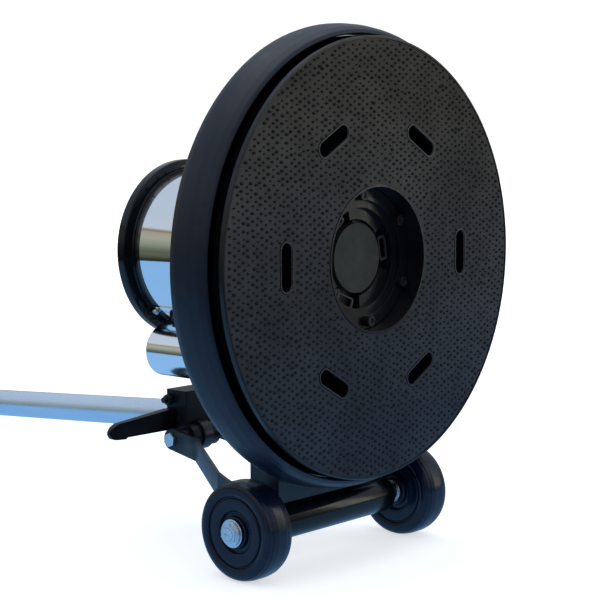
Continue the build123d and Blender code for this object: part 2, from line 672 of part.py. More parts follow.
def main():
    nodes = {
        "pad_driver_block": pad_driver_block(),
        "pad_grip_mat": pad_grip_mat(),
        "clutch_plate": clutch_plate(),
        "clutch_screws": clutch_screws(),
        "drive_hub": drive_hub(),
        "planet_carrier": planet_carrier(),
        "planet_gear_a": planet_gear(0),
        "planet_gear_b": planet_gear(1),
        "planet_gear_c": planet_gear(2),
        "ring_gear": ring_gear(),
        "sun_pinion": sun_pinion(),
        "gearbox_housing": gearbox_housing(),
        "output_bearing": ball_bearing(30.9, 20.04, 46.4, 52.6),
        "shaft_bearings": [ball_bearing(20.3, 10.04, 89.6, 100.0), ball_bearing(20.3, 10.04, 225.0, 235.0)],
        "rotor_shaft": rotor_shaft(),
        "rotor_core": rotor_core(),
        "stator_core": stator_core(),
        "stator_windings": stator_windings(),
        "motor_frame": motor_frame(),
        "motor_end_bell": motor_end_bell(),
        "cooling_fan": cooling_fan(),
        "motor_cover": motor_cover(),
        "cover_screws": cover_screws(),
        "motor_top_cap": motor_top_cap(),
        "cap_screws": cap_screws(),
        "capacitor_cover": capacitor_cover(),
        "capacitor": capacitor(),
        "deck_housing": deck_housing(),
        "deck_bolts": deck_bolts(),
        "bumper_ring": bumper_ring(),
        "deck_bracket": deck_bracket(),
        "axle_tube": axle_tube(),
        "axle_rod": axle_rod(),
        "axle_washers": axle_washers(),
        "axle_nuts": axle_nuts(),
        "wheel_left": wheel(-1),
        "wheel_right": wheel(1),
        "yoke_arm_left": yoke_arm(-1),
        "yoke_arm_right": yoke_arm(1),
        "arm_bolts": arm_bolts(),
        "pivot_bolt": pivot_bolt(),
        "lock_drum": lock_drum(),
        "lock_pedal": lock_pedal(),
        "pedal_spring": pedal_spring(),
        "handle_socket": handle_socket(),
        "socket_pins": socket_pins(),
        "socket_screws": socket_screws(),
        "handle_tube": handle_tube(),
        "head_shell_top": on_handle(head_shell(True)),
        "head_shell_bottom": on_handle(head_shell(False)),
        "head_screws": head_screws(),
        "handlebar": handlebar(),
        "hand_grips": hand_grips(),
        "trigger_left": trigger(-1),
        "trigger_right": trigger(1),
        "trigger_pins": trigger_pins(),
        "safety_button": safety_button(),
        "main_switch": main_switch(),
        "cord_gland": cord_gland(),
        "cord_hooks": cord_hooks(),
    }
    os.makedirs("parts", exist_ok=True)
    for name, shape in nodes.items():
        solids = shape if isinstance(shape, list) else [shape]
        moved = [Pos(0, -Y_MID, 0) * s for s in solids]
        whole = Compound(children=moved) if len(moved) > 1 else moved[0]
        export_step(whole, "parts/" + name + ".step")


main()
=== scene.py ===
"""Looks of the rotary floor machine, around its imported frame.

Metres, +Z up; the pad face looks towards -Y. Outlines are in millimetres.
"""

import json
import math

import bmesh
import bpy
import numpy as np
from mathutils import Matrix, Vector

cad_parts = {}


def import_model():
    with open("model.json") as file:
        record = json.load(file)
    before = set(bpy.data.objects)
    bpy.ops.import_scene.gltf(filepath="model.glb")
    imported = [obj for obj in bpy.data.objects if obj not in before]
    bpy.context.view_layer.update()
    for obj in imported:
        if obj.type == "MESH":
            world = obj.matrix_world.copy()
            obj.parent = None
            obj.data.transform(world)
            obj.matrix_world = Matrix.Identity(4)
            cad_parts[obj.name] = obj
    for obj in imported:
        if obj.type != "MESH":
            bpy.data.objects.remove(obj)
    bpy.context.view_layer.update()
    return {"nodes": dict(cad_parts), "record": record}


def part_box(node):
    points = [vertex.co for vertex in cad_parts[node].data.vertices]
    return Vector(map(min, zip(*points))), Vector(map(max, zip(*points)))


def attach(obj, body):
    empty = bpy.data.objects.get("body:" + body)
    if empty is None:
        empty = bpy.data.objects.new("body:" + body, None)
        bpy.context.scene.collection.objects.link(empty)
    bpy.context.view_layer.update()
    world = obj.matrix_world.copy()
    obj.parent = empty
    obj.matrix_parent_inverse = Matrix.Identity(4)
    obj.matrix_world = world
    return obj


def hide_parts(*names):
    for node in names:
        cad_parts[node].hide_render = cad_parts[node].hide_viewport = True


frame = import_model()

MM = 0.001
SLOT_OF = {s["node"]: s["material_slot"] for s in frame["record"]["subparts"]}
BODY_OF = {n: b for b, members in frame["record"]["behaviour"]["bodies"].items() for n in members}


def middle(node):
    low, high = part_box(node)
    return (low + high) / 2


# Places, from the frame
FACE_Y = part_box("pad_grip_mat")[0].y
AXIS_Z = middle("pad_driver_block").z
AXLE = middle("axle_tube")
COVER_LOW, COVER_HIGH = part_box("motor_cover")
TUBE_LOW, TUBE_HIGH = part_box("handle_tube")

# Local frames: z runs along the turning axis
ON_DISC = Matrix.Translation((0, FACE_Y, AXIS_Z)) @ Matrix.Rotation(-math.pi / 2, 4, "X")
ON_AXLE = Matrix.Translation(AXLE) @ Matrix.Rotation(math.pi / 2, 4, "Y")

# Pad face, millimetres
SLOT_AT = 124.8
SLOT_LONG = 43.0
SLOT_WIDE = 14.0
MAT_IN = 69.0
MAT_OUT = 200.4
TUFT_STEP = (5.6, 3.3)
TUFT_COLUMNS = 36
TUFT_ROWS = 32
TUFT_SEED = 17
SLOTS = 6

# Handle
TUBE_TILT = math.radians(-3.98)
TUBE_R = 15.0


# Materials

def set_range(node, *values):
    """From Min, From Max, To Min and To Max of a map range node, as far as given."""
    for name, value in zip(("From Min", "From Max", "To Min", "To Max"), values):
        node.inputs[name].default_value = value


def tint(color, factor):
    return (*[min(1.0, c * factor) for c in color], 1.0)


def material(name, color, rough, metal=0.0, spread=0.18, blotch=14.0, rough_spread=0.08, grain=900.0,
             grain_depth=0.03, stretch=(1, 1, 1), coat=0.0, coat_rough=0.05, level=0.5, dust=None):
    """Principled surface with varying colour and roughness, fine grain in its bump, and optional dust.

    Sizes are in metres of the object's own frame: a blotch of 14 is about 70 mm, a grain of 900 about 1 mm.
    """
    mat = bpy.data.materials.new(name)
    mat.use_nodes = True
    tree = mat.node_tree
    shader = tree.nodes["Principled BSDF"]
    shader.inputs["Metallic"].default_value = metal
    shader.inputs["Coat Weight"].default_value = coat
    shader.inputs["Coat Roughness"].default_value = coat_rough
    shader.inputs["Specular IOR Level"].default_value = level

    place = tree.nodes.new("ShaderNodeTexCoord")
    scale = tree.nodes.new("ShaderNodeMapping")
    scale.inputs["Scale"].default_value = stretch
    tree.links.new(place.outputs["Object"], scale.inputs["Vector"])

    def noise(size, detail, roughness=0.55):
        node = tree.nodes.new("ShaderNodeTexNoise")
        node.inputs["Scale"].default_value = size
        node.inputs["Detail"].default_value = detail
        node.inputs["Roughness"].default_value = roughness
        tree.links.new(scale.outputs["Vector"], node.inputs["Vector"])
        return node

    broad = noise(blotch, 6.0, 0.62)
    ramp = tree.nodes.new("ShaderNodeValToRGB")
    ramp.color_ramp.elements[0].position = 0.32
    ramp.color_ramp.elements[0].color = tint(color, 1.0 - spread)
    ramp.color_ramp.elements[1].position = 0.70
    ramp.color_ramp.elements[1].color = tint(color, 1.0 + spread)
    tree.links.new(broad.outputs["Fac"], ramp.inputs["Fac"])
    base = ramp.outputs["Color"]

    if dust:
        dust_color, amount, size = dust
        specks = noise(size, 9.0, 0.75)
        mask = tree.nodes.new("ShaderNodeMapRange")
        set_range(mask, 0.5, 0.78, 0.0, amount)
        tree.links.new(specks.outputs["Fac"], mask.inputs["Value"])
        mix = tree.nodes.new("ShaderNodeMix")
        mix.data_type = "RGBA"
        mix.inputs["B"].default_value = (*dust_color, 1.0)
        tree.links.new(mask.outputs["Result"], mix.inputs["Factor"])
        tree.links.new(base, mix.inputs["A"])
        base = mix.outputs["Result"]
    tree.links.new(base, shader.inputs["Base Color"])

    sheen = noise(blotch * 3.1, 8.0, 0.68)
    rough_map = tree.nodes.new("ShaderNodeMapRange")
    set_range(rough_map, 0.3, 0.7, max(0.02, rough - rough_spread), min(1.0, rough + rough_spread))
    tree.links.new(sheen.outputs["Fac"], rough_map.inputs["Value"])
    tree.links.new(rough_map.outputs["Result"], shader.inputs["Roughness"])

    fine = noise(grain, 3.0)
    bump = tree.nodes.new("ShaderNodeBump")
    bump.inputs["Strength"].default_value = 1.0
    bump.inputs["Distance"].default_value = grain_depth * MM
    tree.links.new(fine.outputs["Fac"], bump.inputs["Height"])
    tree.links.new(bump.outputs["Normal"], shader.inputs["Normal"])
    return mat


GREY_DUST = (0.16, 0.15, 0.14)
BROWN_DUST = (0.10, 0.075, 0.055)

FINISH = {
    "driver_plastic": material("moulded_black_plastic", (0.005, 0.0055, 0.0075), 0.30, grain=1300,
                               grain_depth=0.02, level=0.4, dust=(GREY_DUST, 0.05, 60)),
    "pad_gripping_face": material("gripping_sheet", (0.104, 0.085, 0.068), 0.80, spread=0.30, blotch=9,
                                  grain=1500, grain_depth=0.12, level=0.2, dust=(BROWN_DUST, 0.35, 150)),
    "black_gloss_plastic": material("gloss_black_plastic", (0.004, 0.004, 0.005), 0.14, grain=700,
                                    grain_depth=0.01, coat=0.4),
    "black_matte_plastic": material("textured_black_plastic", (0.007, 0.008, 0.010), 0.42, grain=1600,
                                    grain_depth=0.06, level=0.35, dust=(GREY_DUST, 0.06, 45)),
    "bumper_rubber": material("bumper_rubber", (0.005, 0.009, 0.021), 0.40, grain=1100, grain_depth=0.03,
                              blotch=7, level=0.38, dust=(GREY_DUST, 0.06, 38)),
    "wheel_rubber": material("wheel_rubber", (0.002, 0.007, 0.021), 0.27, grain=1200, grain_depth=0.02,
                             blotch=20, level=0.28, coat=0.08, coat_rough=0.12, dust=(GREY_DUST, 0.04, 70)),
    "grip_rubber": material("grip_rubber", (0.016, 0.016, 0.017), 0.62, grain=1500, grain_depth=0.08,
                            dust=(GREY_DUST, 0.12, 60)),
    "black_paint": material("black_enamel", (0.005, 0.006, 0.008), 0.12, blotch=22, rough_spread=0.05,
                            grain=420, grain_depth=0.03, coat=1.0, coat_rough=0.04,
                            dust=(GREY_DUST, 0.06, 80)),
    "chrome": material("chrome_plate", (0.88, 0.90, 0.92), 0.05, metal=1.0, spread=0.03, rough_spread=0.025,
                       blotch=9, grain=240, grain_depth=0.004, stretch=(1, 0.02, 1)),
    "zinc_steel": material("bright_zinc", (0.66, 0.70, 0.74), 0.26, metal=1.0, spread=0.12, rough_spread=0.12,
                           blotch=60, grain=1400, grain_depth=0.03, dust=((0.32, 0.24, 0.14), 0.25, 90)),
    "dark_steel": material("blackened_steel", (0.045, 0.047, 0.052), 0.38, metal=0.8, blotch=50, grain=1300,
                           grain_depth=0.04),
    "gear_steel": material("ground_steel", (0.42, 0.43, 0.45), 0.28, metal=1.0, blotch=40, grain=1500,
                           grain_depth=0.03, stretch=(1, 0.2, 1)),
    "cast_aluminium": material("cast_aluminium", (0.46, 0.47, 0.49), 0.52, metal=1.0, blotch=25, grain=700,
                               grain_depth=0.12, dust=(GREY_DUST, 0.2, 50)),
    "handle_tube_steel": material("galvanised_tube", (0.70, 0.80, 0.91), 0.30, metal=0.85, spread=0.07,
                                  blotch=30, rough_spread=0.10, grain=700, grain_depth=0.03,
                                  stretch=(1, 0.06, 1)),
    "laminations": material("stacked_laminations", (0.16, 0.16, 0.17), 0.5, metal=0.9, grain=1800,
                            grain_depth=0.15, stretch=(0.05, 1, 0.05)),
    "copper_winding": material("varnished_copper", (0.55, 0.22, 0.08), 0.32, metal=0.9, grain=900,
                               grain_depth=0.2, stretch=(1, 0.3, 1), coat=0.5),
    "capacitor_can": material("drawn_aluminium", (0.62, 0.63, 0.64), 0.33, metal=1.0, stretch=(1, 0.1, 1)),
    "fan_plastic": material("nylon_fan", (0.22, 0.24, 0.22), 0.48, grain=1200),
    "button_yellow": material("yellow_button", (0.75, 0.42, 0.03), 0.28, spread=0.06, grain=1200,
                              grain_depth=0.02, coat=0.3),
}
TUFT_BLACK = material("nylon_tufts", (0.003, 0.003, 0.0035), 0.55, grain=2500, grain_depth=0.05, blotch=60,
                      spread=0.4, level=0.25)
SATIN_PAINT = material("satin_black_paint", (0.006, 0.009, 0.014), 0.30, blotch=22, grain=900,
                       grain_depth=0.05, level=0.4, dust=(GREY_DUST, 0.08, 80))
HUB_FACE = material("hub_face", (0.042, 0.040, 0.033), 0.55, spread=0.25, blotch=45, grain=1400,
                    grain_depth=0.06, dust=(BROWN_DUST, 0.4, 120))
# Lighter grey window frames: painted highlight along the window edges.
FRAME_EDGE_PAINTED_HIGHLIGHT = material("plastic_edge_painted_highlight", (0.055, 0.055, 0.060), 0.40, spread=0.35, blotch=80, grain=1500)
# Light grey slot lips: painted highlight along the slot edges.
SLOT_EDGE_PAINTED_HIGHLIGHT = material("slot_edge_painted_highlight", (0.16, 0.15, 0.15), 0.45, spread=0.35, blotch=60, grain=1500)
SATIN_DARK = material("satin_black_casting", (0.005, 0.006, 0.009), 0.40, blotch=30, grain=1100,
                      grain_depth=0.06, level=0.22, dust=(BROWN_DUST, 0.12, 70))
CAP_GLOSS = material("gloss_black_cap", (0.002, 0.003, 0.005), 0.14, blotch=18, rough_spread=0.04, grain=900,
                     grain_depth=0.01, level=0.25, coat=0.15)
AXLE_GLOSS = material("axle_sleeve_enamel", (0.002, 0.003, 0.004), 0.16, blotch=40, rough_spread=0.05,
                      grain=900, grain_depth=0.02, level=0.22, coat=0.10, dust=(GREY_DUST, 0.04, 90))
CAN_CHROME = material("dulled_chrome_plate", (0.94, 0.95, 0.97), 0.14, metal=1.0, spread=0.03,
                      rough_spread=0.05, blotch=12, grain=300, grain_depth=0.006, stretch=(1, 0.05, 1))


def paint_shade_bluer_downwards(mat, low, high, color):
    """Painted shade and blue bounce light: multiplies the base colour by color, fully at the height low and
    fading out by the height high.
    """
    tree = mat.node_tree
    shader = tree.nodes["Principled BSDF"]
    base = shader.inputs["Base Color"].links[0].from_socket
    place = tree.nodes.new("ShaderNodeTexCoord")
    parts = tree.nodes.new("ShaderNodeSeparateXYZ")
    tree.links.new(place.outputs["Object"], parts.inputs[0])
    painted_shade = tree.nodes.new("ShaderNodeMapRange")
    set_range(painted_shade, low, high, 1.0, 0.0)
    tree.links.new(parts.outputs["Z"], painted_shade.inputs["Value"])
    mix = tree.nodes.new("ShaderNodeMix")
    mix.data_type = "RGBA"
    mix.blend_type = "MULTIPLY"
    mix.inputs["B"].default_value = (*color, 1.0)
    tree.links.new(painted_shade.outputs["Result"], mix.inputs["Factor"])
    tree.links.new(base, mix.inputs["A"])
    tree.links.new(mix.outputs["Result"], shader.inputs["Base Color"])


# Painted light on the pad face: darker and bluer towards the bottom, in place of blue light bounced up from
# the floor.
paint_shade_bluer_downwards(FINISH["pad_gripping_face"], AXIS_Z - 0.15, AXIS_Z + 0.12, (0.36, 0.52, 0.84))


# Mesh helpers

def shade(mesh, angle=38.0):
    mesh.polygons.foreach_set("use_smooth", [True] * len(mesh.polygons))
    mesh.set_sharp_from_angle(angle=math.radians(angle))


def piece(name, mesh, node, finish=None, replaces=True):
    """Puts a new mesh in the scene in place of a CAD node, on that node's body and with its finish."""
    slot = SLOT_OF[node]
    mesh.materials.clear()
    mesh.materials.append(finish or FINISH[slot])
    obj = bpy.data.objects.new(name, mesh)
    bpy.context.scene.collection.objects.link(obj)
    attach(obj, BODY_OF[node])
    if replaces:
        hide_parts(node)
    return obj


def rounded(points, radius, steps=4):
    """Closed outline with every corner rounded, as far as its two sides leave room."""
    made = []
    count = len(points)
    for i in range(count):
        corner = Vector(points[i])
        back = Vector(points[i - 1]) - corner
        ahead = Vector(points[(i + 1) % count]) - corner
        half = back.angle(ahead) / 2
        cut = min(radius / max(math.tan(half), 0.05), 0.46 * back.length, 0.46 * ahead.length)
        if half > math.radians(87) or corner.x < 1e-6:
            made.append(corner)
            continue
        start = corner + back.normalized() * cut
        end = corner + ahead.normalized() * cut
        for k in range(steps + 1):
            t = k / steps
            made.append(start * (1 - t) ** 2 + corner * 2 * t * (1 - t) + end * t * t)
    return [(p.x, p.y) for p in made]


def turned(outline, place, steps=192, sweep=None):
    """Mesh turned from a closed outline of (radius, along) in millimetres about place's z axis.

    sweep gives a first and last angle in degrees for a part turn, whose ends are closed.
    """
    full = sweep is None
    first, last = (0.0, 360.0) if full else sweep
    rows = steps if full else steps + 1
    angles = np.radians(first + (last - first) * np.arange(rows) / steps)
    r = np.array([p[0] for p in outline]) * MM
    h = np.array([p[1] for p in outline]) * MM
    n = len(outline)
    co = np.stack([np.outer(np.cos(angles), r), np.outer(np.sin(angles), r),
                   np.broadcast_to(h, (rows, n))], axis=-1).reshape(-1, 3)
    faces = []
    for i in range(rows if full else rows - 1):
        a, b = i * n, ((i + 1) % rows) * n
        faces += [(a + k, a + (k + 1) % n, b + (k + 1) % n, b + k) for k in range(n)]
    if not full:
        faces += [tuple(range(n)), tuple(range((rows - 1) * n, rows * n))]
    mesh = bpy.data.meshes.new("turned")
    mesh.from_pydata(co.tolist(), [], faces)
    clean(mesh, 1e-7)
    mesh.transform(place)
    shade(mesh)
    return mesh


def drop_custom_normals(mesh):
    for name in [a.name for a in mesh.attributes if a.name == "custom_normal"]:
        mesh.attributes.remove(mesh.attributes[name])


def clean(mesh, distance, flat=None):
    """Joins points nearer than distance, and faces within flat degrees of each other where flat is given."""
    work = bmesh.new()
    work.from_mesh(mesh)
    bmesh.ops.remove_doubles(work, verts=work.verts, dist=distance)
    if flat:
        bmesh.ops.dissolve_limit(work, angle_limit=math.radians(flat), use_dissolve_boundaries=False,
                                 verts=work.verts, edges=work.edges, delimit=set())
    bmesh.ops.recalc_face_normals(work, faces=work.faces)
    work.to_mesh(mesh)
    work.free()


def soften(node, width, finish=None, segments=3, angle=32.0):
    """A CAD node's shape with its machined or moulded edges rounded over, in place of the node."""
    mesh = frame["nodes"][node].data.copy()
    mesh.name = node + "_soft"
    drop_custom_normals(mesh)
    clean(mesh, 1e-6, flat=0.4)
    shade(mesh)
    obj = piece(node + "_shape", mesh, node, finish=finish)
    bevel = obj.modifiers.new("edges", "BEVEL")
    bevel.width = width * MM
    bevel.segments = segments
    bevel.limit_method = "ANGLE"
    bevel.angle_limit = math.radians(angle)
    bevel.use_clamp_overlap = True
    weigh = obj.modifiers.new("flat_faces", "WEIGHTED_NORMAL")
    weigh.weight = 100
    weigh.keep_sharp = True
    bake(obj)
    return obj


def bake(obj):
    """Applies the modifiers of an object to its mesh."""
    bpy.context.view_layer.update()
    graph = bpy.context.evaluated_depsgraph_get()
    made = bpy.data.meshes.new_from_object(obj.evaluated_get(graph))
    obj.modifiers.clear()
    obj.data = made


# Pad face

def in_slot(x, z, margin):
    """True where a point of the pad face lies in one of the six slots or nearer than margin to it."""
    for k in range(SLOTS):
        a = math.radians(360 / SLOTS * k)
        out = x * math.cos(a) + z * math.sin(a) - SLOT_AT
        along = abs(-x * math.sin(a) + z * math.cos(a)) - (SLOT_LONG - SLOT_WIDE) / 2
        if math.hypot(out, max(0.0, along)) < SLOT_WIDE / 2 + margin:
            return True
    return False


def grip_sheet():
    """The mat's backing: the CAD mat with its front lowered, so that the tufts stand on it."""
    mesh = frame["nodes"]["pad_grip_mat"].data.copy()
    drop_custom_normals(mesh)
    for v in mesh.vertices:
        if v.co.y < FACE_Y + 0.6 * MM:
            v.co.y = FACE_Y + 1.1 * MM
    clean(mesh, 1e-6)
    shade(mesh)
    return piece("grip_sheet", mesh, "pad_grip_mat")


def grip_tufts():
    """Short stiff tufts in staggered rows over the whole gripping face."""
    rng = np.random.default_rng(TUFT_SEED)
    dx, dz = TUFT_STEP
    spots = []
    for i in range(-TUFT_COLUMNS, TUFT_COLUMNS + 1):
        for j in range(-TUFT_ROWS, TUFT_ROWS + 1):
            x = i * dx + rng.normal(0, 0.6)
            z = j * 2 * dz + (i % 2) * dz + rng.normal(0, 0.5)
            x, z = x + 1.5 * math.sin(z / 27 + 1.0), z + 1.8 * math.sin(x / 33)
            r = math.hypot(x, z)
            if MAT_IN + 1.6 < r < MAT_OUT - 0.9 and not in_slot(x, z, 2.4):
                spots.append((x, z, rng.uniform(0.65, 1.3), rng.normal(0, 0.3)))
    ring = [(math.cos(math.pi * k / 4), math.sin(math.pi * k / 4)) for k in range(8)]
    levels = [(1.95, 1.12, 1.15), (1.80, 1.02, 0.55), (1.45, 0.82, 0.16), (0.70, 0.40, 0.02)]
    co, faces = [], []
    for x, z, size, lean in spots:
        start = len(co)
        for wide, tall, y in levels:
            shift = lean * (1.15 - y)
            for c, s in ring:
                co.append(((x + shift + c * wide * size) * MM, FACE_Y + y * MM,
                           AXIS_Z + (z + s * tall * size) * MM))
        for level in range(3):
            for k in range(8):
                a, b = start + level * 8 + k, start + level * 8 + (k + 1) % 8
                faces.append((a, b, b + 8, a + 8))
        faces.append(tuple(range(start + 24, start + 32)))
        faces.append(tuple(range(start + 7, start - 1, -1)))
    mesh = bpy.data.meshes.new("tufts")
    mesh.from_pydata(co, [], faces)
    clean(mesh, 1e-8)
    shade(mesh, 60)
    return piece("grip_tufts", mesh, "pad_grip_mat", finish=TUFT_BLACK, replaces=False)


def hoop(name, rings, turn):
    """Closed tube of rings, each an outline of (out, across) and its depth behind the pad face."""
    co, faces = [], []
    for outline, depth in rings:
        for out, across in outline:
            x = out * math.cos(turn) - across * math.sin(turn)
            z = out * math.sin(turn) + across * math.cos(turn)
            co.append((x * MM, FACE_Y + depth * MM, AXIS_Z + z * MM))
    count = len(rings[0][0])
    for level in range(len(rings)):
        low, high = level * count, (level + 1) % len(rings) * count
        for i in range(count):
            j = (i + 1) % count
            faces.append((low + i, low + j, high + j, high + i))
    mesh = bpy.data.meshes.new(name)
    mesh.from_pydata(co, [], faces)
    clean(mesh, 1e-7)
    return mesh


def slot_rims():
    """Raised plastic lips round the six slots, light grey as a painted highlight along the slot edges."""
    lip = ((8.5, 1.7), (8.3, 0.9), (7.7, 0.5), (7.1, 0.9), (6.9, 1.9))
    half = SLOT_LONG / 2 - SLOT_WIDE / 2
    for k in range(SLOTS):
        rings = [([(SLOT_AT + out, along) for out, along in stadium(half, wide)], depth)
                 for wide, depth in lip]
        mesh = hoop("lip", rings, math.radians(360 / SLOTS * k))
        shade(mesh, 50)
        piece("slot_lip_" + "abcdef"[k], mesh, "pad_driver_block", finish=SLOT_EDGE_PAINTED_HIGHLIGHT, replaces=False)


def stadium(straight, radius, steps=14):
    """Outline of a slot: two half circles of the radius, their centres twice straight apart."""
    made = []
    for end in (1, -1):
        for k in range(steps + 1):
            t = math.pi * k / steps + (0 if end > 0 else math.pi)
            made.append((radius * math.cos(t), end * straight + radius * math.sin(t)))
    return made


def window_frames():
    """Thin raised frames round the three windows between the clutch plate's tabs, lighter grey than the plate
    as a painted highlight along the window edges.
    """
    inner, outer, half_in, half_out = 36.4, 47.2, 9.6, 11.8
    front, back = 30.2, 31.6
    ring_in = rounded([(inner + 1.4, -half_in), (outer - 1.8, -half_in), (outer - 1.8, half_in),
                       (inner + 1.4, half_in)], 1.6, 4)
    ring_out = rounded([(inner, -half_out), (outer, -half_out), (outer, half_out), (inner, half_out)], 2.4, 4)
    rings = [(ring_out, back), (ring_out, front), (ring_in, front), (ring_in, back)]
    for k in range(3):
        mesh = hoop("window", rings, math.radians(10 + 120 * k))
        shade(mesh, 30)
        piece("window_frame_" + "abc"[k], mesh, "clutch_plate", finish=FRAME_EDGE_PAINTED_HIGHLIGHT, replaces=False)


# Turned pieces

def bumper():
    edge = [(206.2, 15.3), (209.4, 16.8), (212.6, 22.5), (215.0, 32.0), (215.9, 39.5), (216.0, 45.5),
            (214.6, 52.4), (210.6, 55.6), (208.2, 55.8), (207.4, 54.8), (207.4, 25.6), (204.9, 25.6),
            (204.9, 16.4)]
    return piece("bumper", turned(rounded(edge, 9.0, 5), ON_DISC, 288), "bumper_ring")


def motor_cover():
    length = (COVER_HIGH.y - FACE_Y) / MM
    start = (COVER_LOW.y - FACE_Y) / MM
    shell = [(80.0, start), (81.0, start), (81.0, length), (80.0, length)]
    cover = piece("motor_cover_shell", turned(rounded(shell, 0.4), ON_DISC, 288), "motor_cover")
    lap = [(81.05, start), (82.1, start), (82.1, length - 4.0), (81.05, length - 4.0)]
    strip = turned(rounded(lap, 0.4, 3), ON_DISC, 24, sweep=(123.0, 138.0))
    return cover, piece("motor_cover_lap", strip, "motor_cover", replaces=False)


def wheel(side):
    node = "wheel_left" if side < 0 else "wheel_right"
    low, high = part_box(node)
    wide = (high.x - low.x) / MM
    big = (high.z - low.z) / 2 / MM
    hub = [(8.1, 0.5), (13.6, 0.5), (14.4, 1.2), (15.0, 4.6), (18.6, 5.2), (19.8, 2.6), (20.8, 1.7)]
    web = [(29.4, 1.3), (30.6, 1.7), (31.3, 3.3), (32.7, 3.3), (33.4, 1.3), (35.6, 0.5)]
    shoulder = [(39.0, 0.5), (39.8, 0.9), (41.2, 1.1), (43.6, 2.7), (44.1, 3.9), (44.0, 4.5), (44.9, 6.0),
                (45.4, 8.8), (45.3, 9.3), (big, 11.0)]
    inner = hub + web + shoulder
    outline = inner + [(r, wide - h) for r, h in reversed(inner)]
    turn = Matrix.Rotation(math.copysign(math.pi / 2, side), 4, "Y")
    start = low.x if side > 0 else high.x
    place = Matrix.Translation((start, AXLE.y, AXLE.z)) @ turn
    return piece(node + "_tyre", turned(rounded(outline, 0.7, 3), place, 192), node)


def axle_tube():
    half = (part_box("axle_tube")[1].x - AXLE.x) / MM
    outline = [(8.4, -half), (17.5, -half), (17.5, half), (8.4, half)]
    return piece("axle_sleeve", turned(rounded(outline, 1.0), ON_AXLE, 160), "axle_tube", AXLE_GLOSS)


def handle_place():
    """Frame of the handle: z along the tube, from a point on its axis near its lower end."""
    pivot_end = Vector((0, TUBE_LOW.y, TUBE_HIGH.z - TUBE_R * MM * math.cos(TUBE_TILT)))
    return Matrix.Translation(pivot_end) @ Matrix.Rotation(TUBE_TILT - math.pi / 2, 4, "X")


def handle_tube():
    length = (TUBE_HIGH.y - TUBE_LOW.y) / MM / math.cos(TUBE_TILT) - 2.0
    outline = [(13.5, 1.2), (15.0, 1.2), (15.0, length), (13.5, length)]
    return piece("handle_pipe", turned(rounded(outline, 0.5), handle_place(), 128), "handle_tube")


# Nodes whose CAD shape is kept with its edges rounded over: width of the rounding in millimetres
ROUNDING = {
    "pad_driver_block": 0.45, "clutch_plate": 0.5, "clutch_screws": 0.4, "drive_hub": 0.7,
    "gearbox_housing": 0.8, "deck_housing": 0.6, "deck_bolts": 0.5, "deck_bracket": 0.7,
    "motor_top_cap": 0.8, "cap_screws": 0.3, "cover_screws": 0.3, "axle_rod": 0.5, "axle_washers": 0.25,
    "axle_nuts": 0.5, "yoke_arm_left": 0.7, "yoke_arm_right": 0.7, "arm_bolts": 0.5, "pivot_bolt": 0.5,
    "lock_pedal": 3.0, "handle_socket": 1.0, "socket_pins": 0.4, "socket_screws": 0.4,
    "head_shell_top": 1.6, "head_shell_bottom": 1.6, "head_screws": 0.3, "handlebar": 0.4,
    "hand_grips": 0.9, "trigger_left": 0.8, "trigger_right": 0.8, "trigger_pins": 0.3,
    "safety_button": 0.8, "main_switch": 0.5, "cord_gland": 0.6, "cord_hooks": 1.2,
    "motor_end_bell": 0.6, "cooling_fan": 0.3, "capacitor_cover": 0.8,
}

# Nodes of one record finish whose surface differs from the rest of it
OWN_FINISH = {
    "yoke_arm_left": SATIN_PAINT, "yoke_arm_right": SATIN_PAINT, "deck_bracket": SATIN_PAINT,
    "drive_hub": HUB_FACE, "motor_top_cap": CAP_GLOSS, "handle_socket": SATIN_DARK, "lock_pedal": SATIN_DARK,
    "capacitor_cover": CAN_CHROME,
}


def build():
    for node, width in ROUNDING.items():
        soften(node, width, OWN_FINISH.get(node))
    window_frames()
    slot_rims()
    grip_sheet()
    grip_tufts()
    bumper()
    motor_cover()
    wheel(-1)
    wheel(1)
    axle_tube()
    handle_tube()
    for node, obj in frame["nodes"].items():
        if not obj.hide_render:
            obj.data.materials.clear()
            obj.data.materials.append(FINISH[SLOT_OF[node]])
            shade(obj.data)


# Stage: brightness of the sky, the two lamps in watts, and the floor's own glow near the machine and far off
SKY = 0.9
OVERHEAD = 22.0
SIDE = 5.0
GLOW_NEAR = 0.60
GLOW_FAR = 1.1


def camera():
    data = bpy.data.cameras.new("camera")
    data.sensor_width = 36.0
    data.lens = 94.01
    data.clip_end = 60.0
    obj = bpy.data.objects.new("camera", data)
    heading, pitch, roll = math.radians(-47.87), math.radians(-5.82), math.radians(-0.276)
    place = Matrix.Translation((-1.1123, FACE_Y - 0.9070, AXIS_Z + 0.1090))
    turn = Matrix.Rotation(heading, 4, "Z") @ Matrix.Rotation(math.pi / 2 + pitch, 4, "X")
    obj.matrix_world = place @ turn @ Matrix.Rotation(roll, 4, "Z")
    bpy.context.scene.collection.objects.link(obj)
    bpy.context.scene.camera = obj


